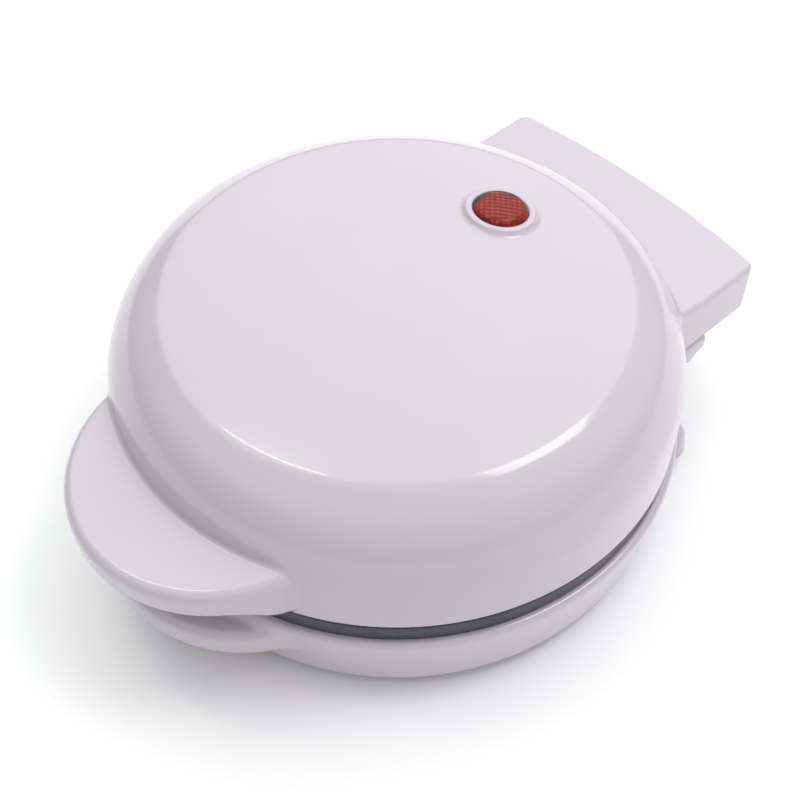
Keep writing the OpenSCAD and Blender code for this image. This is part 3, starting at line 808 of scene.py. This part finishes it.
def plate(name, body, node, rim, depth_sign, flange_r, flange_t, edge):
    """A round plate with a rolled flange, a drip groove, a filleted cavity and its studs."""
    s = depth_sign
    floor = rim - s * CAVITY_D
    back = floor - s * PLATE_T
    wall = CAVITY_R + PLATE_T
    draft, groove_deep, groove_edge, sunk = 0.9, 0.6, 0.3, 0.02
    groove = [(CAVITY_R + 1.2, rim), (CAVITY_R + 1.6, rim - s * groove_deep),
              (CAVITY_R + 2.8, rim - s * groove_deep), (CAVITY_R + 3.2, rim)]
    points = [(0, floor), (CAVITY_R - draft, floor), (CAVITY_R, rim)] + groove
    points += [(flange_r, rim), (flange_r, rim - s * flange_t), (wall, rim - s * flange_t),
               (wall, back), (0, back)]
    radii = [0, 2.2, 0.7] + [groove_edge] * len(groove) + [edge, 0.6, 0.8, 1.0, 0]
    profile = fillet(points, radii)
    parts = [lathe(profile, 256)]
    tip = floor + s * STUD_H
    parts.extend(stud(cx, cy, floor - s * sunk, tip) for cx, cy in stud_centres())
    verts, faces = merge(parts)
    obj = outward(add_object(name, verts, faces))
    soften(obj, 40)
    return place(obj, body, COATING, "non_stick", node)


def soften(obj, angle):
    """Smooth shading that keeps edges sharper than the angle."""
    obj.data.set_sharp_from_angle(angle=math.radians(angle))


# ---- lamp ----

def tilt_to_lamp(verts):
    """Moves points from the lamp's own upright frame to its place on the sloping crown."""
    turn = Matrix.Rotation(-LAMP_TILT, 3, "X")
    shift = Vector((0, LAMP_Y, LAMP_Z))
    return [tuple(turn @ Vector(v) + shift) for v in verts]


def lamp_collar():
    """Raised ring round the lens, with a concave foot that dies into the crown."""
    inner, skirt = LENS_R + 0.1, BEZEL_R - 1.9
    crest_half, crest_low, crest_rise, crest_turn = 0.85, 0.7, 0.4, 0.8
    foot_r, foot_z, hollowness = BEZEL_R + 0.1, -0.27, 2.2
    points = [(inner, -1.4), (inner, crest_low)]
    for k in range(13):
        t = math.pi * (1 - k / 12 * crest_turn)
        points.append((inner + crest_half + crest_half * math.cos(t),
                       crest_low + crest_rise * math.sin(t)))
    start_r, start_z = points[-1]
    for k in range(1, 15):
        t = k / 14
        points.append((start_r + (foot_r - start_r) * t,
                       foot_z + (start_z - foot_z) * (1 - t) ** hollowness))
    points.extend([(BEZEL_R, -0.5), (skirt, -0.6), (skirt, -1.4)])
    verts, faces = lathe(points, 200, closed=True)
    obj = outward(add_object("lamp_collar", tilt_to_lamp(verts), faces))
    soften(obj, 50)
    return place(obj, "lid", LILAC, "lilac_plastic", "lamp_bezel")


def lens_height(r, x, y):
    """Domed lens top with a bevelled rim and crossed ribs that fade out towards the rim."""
    high, fall, bevel_start, bevel_fall = 2.50, 0.5, 4.7, 0.75
    rib_deep, rib_end, rib_fade = 0.05, 4.3, 0.5
    crown = high - fall * (r / LENS_R) ** 2
    bevel = bevel_fall * max(0.0, (r - bevel_start) / (LENS_R - bevel_start)) ** 1.7
    fade = 1 if r < rib_end else max(0.0, 1 - (r - rib_end) / rib_fade)
    turn = 2 * math.pi * math.sqrt(0.5) / RIB_PITCH
    ribs = math.cos((x + y) * turn) + math.cos((x - y) * turn)
    return crown - bevel + fade * rib_deep * ribs


def lamp_lens():
    """The lens: a ribbed cap on rings of points, with a short skirt and a narrower stem."""
    segments, rings = 300, 58
    stem_r, skirt_low, stem_low = 5.2, -1.6, -4.5
    turns = [2 * math.pi * j / segments for j in range(segments)]
    verts = [(0, 0, lens_height(0, 0, 0))]
    for i in range(1, rings + 1):
        r = LENS_R * i / rings
        for t in turns:
            x, y = r * math.cos(t), r * math.sin(t)
            verts.append((x, y, lens_height(r, x, y)))
    for r, z in ((LENS_R, skirt_low), (stem_r, skirt_low), (stem_r, stem_low)):
        verts.extend((r * math.cos(t), r * math.sin(t), z) for t in turns)
    faces = [(0, 1 + j, 1 + (j + 1) % segments) for j in range(segments)]
    for i in range(rings + 2):
        a, b = 1 + i * segments, 1 + (i + 1) * segments
        for j in range(segments):
            k = (j + 1) % segments
            faces.append((a + j, b + j, b + k, a + k))
    last = 1 + (rings + 2) * segments
    faces.append(tuple(last + j for j in reversed(range(segments))))
    obj = outward(add_object("lamp_lens_cap", tilt_to_lamp(verts), faces))
    soften(obj, 50)
    return place(obj, "lid", LENS_RED, "lens_red", "lamp_lens")


# ---- small parts ----

def feet():
    """Four turned rubber feet, each with a rounded sole and a shallow ring groove."""
    hollow, out, stem, top, tip = 0.25, 6.0, 2.55, 3.0, 5.2
    points = [(0, hollow), (2.6, hollow), (3.0, 0.0), (5.1, 0.0), (out, 0.8), (out, top),
              (stem, top), (stem, tip), (0, tip)]
    profile = fillet(points, [0, 0.2, 0.2, 0.6, 0.5, 0.1, 0.1, 0.1, 0])
    parts = []
    for quarter in range(4):
        angle = math.radians(45 + 90 * quarter)
        verts, faces = lathe(profile, 72)
        cx, cy = FEET_REACH * math.cos(angle), FEET_REACH * math.sin(angle)
        parts.append(([(x + cx, y + cy, z) for x, y, z in verts], faces))
    verts, faces = merge(parts)
    obj = outward(add_object("soft_feet", verts, faces))
    soften(obj, 50)
    return place(obj, "base", RUBBER, "rubber", "rubber_feet")


def gland():
    """The rubber bushing that the cord passes through, with ribs round its outer collar."""
    inner, outer, neck, start, end = 3.0, 4.9, 4.1, 55.0, 67.0
    points = [(inner, start), (outer, start), (outer, 58.8), (neck, 58.8), (neck, 63.7),
              (outer, 63.7), (outer, 64.7), (4.4, 64.9), (4.75, 65.2), (4.75, 65.7), (4.3, 65.9),
              (4.6, 66.2), (4.5, end), (inner, end)]
    radii = [0, 0.3, 0.2, 0.1, 0.1, 0.25, 0.2, 0.1, 0.2, 0.2, 0.1, 0.2, 0.35, 0]
    profile = fillet(points, radii, 4)
    verts, faces = lathe(profile, 96, closed=True)
    verts = [(x, z, CORD_Z - y) for x, y, z in verts]
    obj = outward(add_object("gland_bushing", verts, faces))
    soften(obj, 45)
    return place(obj, "base", RUBBER, "rubber", "cord_gland")


def dress(names, material):
    """Puts a detailed material on CAD nodes that keep their own shape."""
    for name in names:
        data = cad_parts[name].data
        data.materials.clear()
        data.materials.append(material)


lid_shell()
base_shell()
plate("lower_grid_plate", "base", "lower_plate", LOW_TOP, 1, 62.6, 5.0, 0.9)
plate("upper_grid_plate", "lid", "upper_plate", UP_BOT, -1, LID_R - WALL - 0.6, 3.7, 0.6)
lamp_collar()
lamp_lens()
feet()
gland()

dress(["bottom_cover_screws", "lower_plate_screws", "tab_cover_screws", "upper_plate_screws",
       "thermal_fuse", "thermostat", "hinge_pins"], STEEL)
dress(["lower_heating_element", "upper_heating_element"], SHEATH)
dress(["lower_reflector", "upper_reflector"], ALUMINIUM)
dress(["base_bottom_cover", "cord_clamp"], DARK_PLASTIC)
dress(["terminal_block", "lamp_holder", "lamp_resistor"], PALE_PLASTIC)
dress(["neon_lamp"], GLASS)
dress(["base_wires", "lid_wires"], BRAID)
dress(["tab_cover"], LILAC)


# ---- floor, camera and light ----

def stage_floor():
    """A wide pale floor that isn't part of the object."""
    half = 1500
    corners = [(-half, -half, 0), (half, -half, 0), (half, half, 0), (-half, half, 0)]
    obj = add_object("floor", corners, [(0, 1, 2, 3)])
    f = Finish("pale_floor", Roughness=0.6)
    tone = f.noise(8, 3, 0.5)
    f.colour(f.mix(f.span(tone, 0, 1, 0.3, 0.7), (0.85, 0.85, 0.855), (0.87, 0.87, 0.875)))
    obj.data.materials.append(f.mat)


def aim(obj, target):
    """Turns a camera to look at a point in metres."""
    obj.rotation_mode = "QUATERNION"
    obj.rotation_quaternion = (Vector(target) - obj.location).to_track_quat("-Z", "Y")


def camera():
    """Seen from the front right, looking down at about fifty degrees."""
    data = bpy.data.cameras.new("camera")
    data.lens = 60.675
    data.sensor_width = 36
    data.clip_start, data.clip_end = 0.01, 10
    obj = bpy.data.objects.new("camera", data)
    bpy.context.scene.collection.objects.link(obj)
    eye, target = (0.1466, -0.1326, 0.2606), (0.0026, -0.0015, 0.0246)
    obj.location = eye
    aim(obj, target)
    bpy.context.scene.camera = obj


def toward(azimuth, elevation):
    """Unit vector to a compass angle (0 is the front, 90 the right) and a height angle."""
    a, e = math.radians(azimuth), math.radians(elevation)
    return Vector((math.sin(a) * math.cos(e), -math.cos(a) * math.cos(e), math.sin(e)))


def softbox(name, start, end, distance, width, radiance, tint=(1.0, 1.0, 1.0)):
    """A rectangular light whose long side runs from one direction to another."""
    a, b = toward(*start), toward(*end)
    away = (a + b).normalized()
    along = (b - a).normalized()
    data = bpy.data.lights.new(name, "AREA")
    data.shape = "RECTANGLE"
    data.color = tint
    data.size = 2 * distance * math.tan(a.angle(b) / 2)
    data.size_y = width
    data.energy = radiance * math.pi * data.size * data.size_y
    obj = bpy.data.objects.new(name, data)
    bpy.context.scene.collection.objects.link(obj)
    side = away.cross(along)
    turn = Matrix((along, side, away)).transposed()
    middle = Vector((0, 0, 0.04))
    obj.matrix_world = Matrix.Translation(away * distance + middle) @ turn.to_4x4()


def world_light(dark, bright, side):
    """A soft studio surround, brighter towards one side and above."""
    world = bpy.data.worlds.new("studio")
    bpy.context.scene.world = world
    world.use_nodes = True
    tree = world.node_tree
    tree.nodes["Background"].inputs["Color"].default_value = (1.0, 1.0, 1.0, 1.0)
    coords = tree.nodes.new("ShaderNodeTexCoord")
    dot = tree.nodes.new("ShaderNodeVectorMath")
    dot.operation = "DOT_PRODUCT"
    dot.inputs[1].default_value = Vector(side).normalized()
    level = tree.nodes.new("ShaderNodeMapRange")
    level.interpolation_type = "SMOOTHSTEP"
    limits = {"From Min": -0.15, "From Max": 0.75, "To Min": dark, "To Max": bright}
    for key, value in limits.items():
        level.inputs[key].default_value = value
    tree.links.new(coords.outputs["Generated"], dot.inputs[0])
    tree.links.new(dot.outputs["Value"], level.inputs["Value"])
    tree.links.new(level.outputs["Result"], tree.nodes["Background"].inputs["Strength"])


stage_floor()
camera()
bpy.context.scene.view_settings.view_transform = "Standard"
world_light(0.30, 0.96, (0.35, 0.05, 1.0))
softbox("overhead", (-132, 6), (-132, 92), 1.3, 2.2, 0.95, (0.95, 1.0, 0.965))
softbox("left_strip", (-68, 58), (-56, 78), 1.1, 0.06, 9.0)
softbox("right_window", (118, 70), (151, 50), 1.1, 0.34, 5.5)
